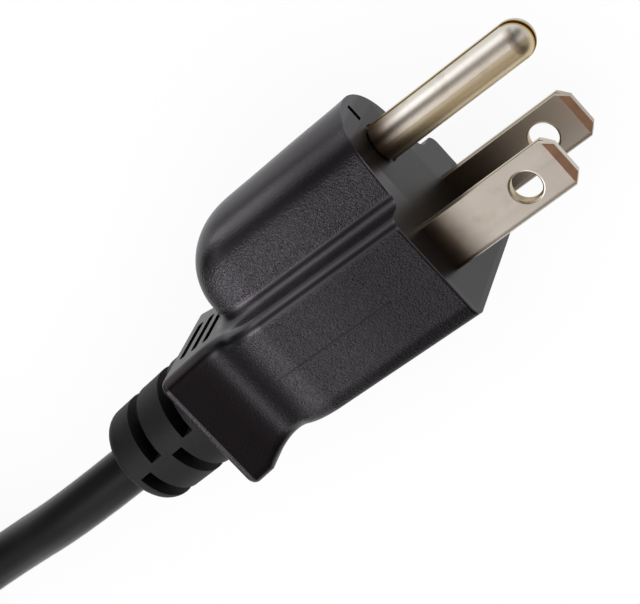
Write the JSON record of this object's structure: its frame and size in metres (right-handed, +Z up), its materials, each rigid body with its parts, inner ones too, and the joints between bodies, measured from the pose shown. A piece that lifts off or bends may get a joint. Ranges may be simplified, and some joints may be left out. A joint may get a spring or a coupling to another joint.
{
  "type": "type b plug",
  "caption": "Moulded grounded mains plug with folded flat blades, a round ground pin, a grip flange and a slotted strain relief, on a coiled cord with an appliance connector.",
  "frame": {"origin": "on the front face, midway between the blades", "axes": "+X along the prongs, +Y from the blades to the ground pin, +Z up from the floor the plug lies on"},
  "size_m": [0.182, 0.087, 0.0392],
  "materials": {
    "plug_pvc": "moulded black, fine leather grain",
    "carrier_pvc": "moulded black, smooth",
    "plated_brass": "nickel plated, satin, raw brass on cut edges",
    "cord_jacket": "satin black",
    "core_black": "smooth black",
    "core_white": "smooth white",
    "core_green": "smooth green",
    "copper": "bare stranded copper",
    "tie_strap": "woven black strap",
    "connector_pvc": "moulded black, matt",
    "connector_insert": "smooth black",
    "contact_brass": "plain brass"
  },
  "bodies": {
    "root": {"plug_body": "plug_pvc", "contact_carrier": "carrier_pvc", "neutral_blade": "plated_brass", "line_blade": "plated_brass", "ground_pin": "plated_brass", "cord_run": "cord_jacket", "cord_coil": "cord_jacket", "cord_tail": "cord_jacket", "neutral_insulation": "core_white", "line_insulation": "core_black", "ground_insulation": "core_green", "neutral_strands": "copper", "line_strands": "copper", "ground_strands": "copper", "coil_tie": "tie_strap", "connector_body": "connector_pvc", "connector_block": "connector_insert", "connector_line_contact": "contact_brass", "connector_neutral_contact": "contact_brass", "connector_ground_contact": "contact_brass"}
  },
  "joints": []
}
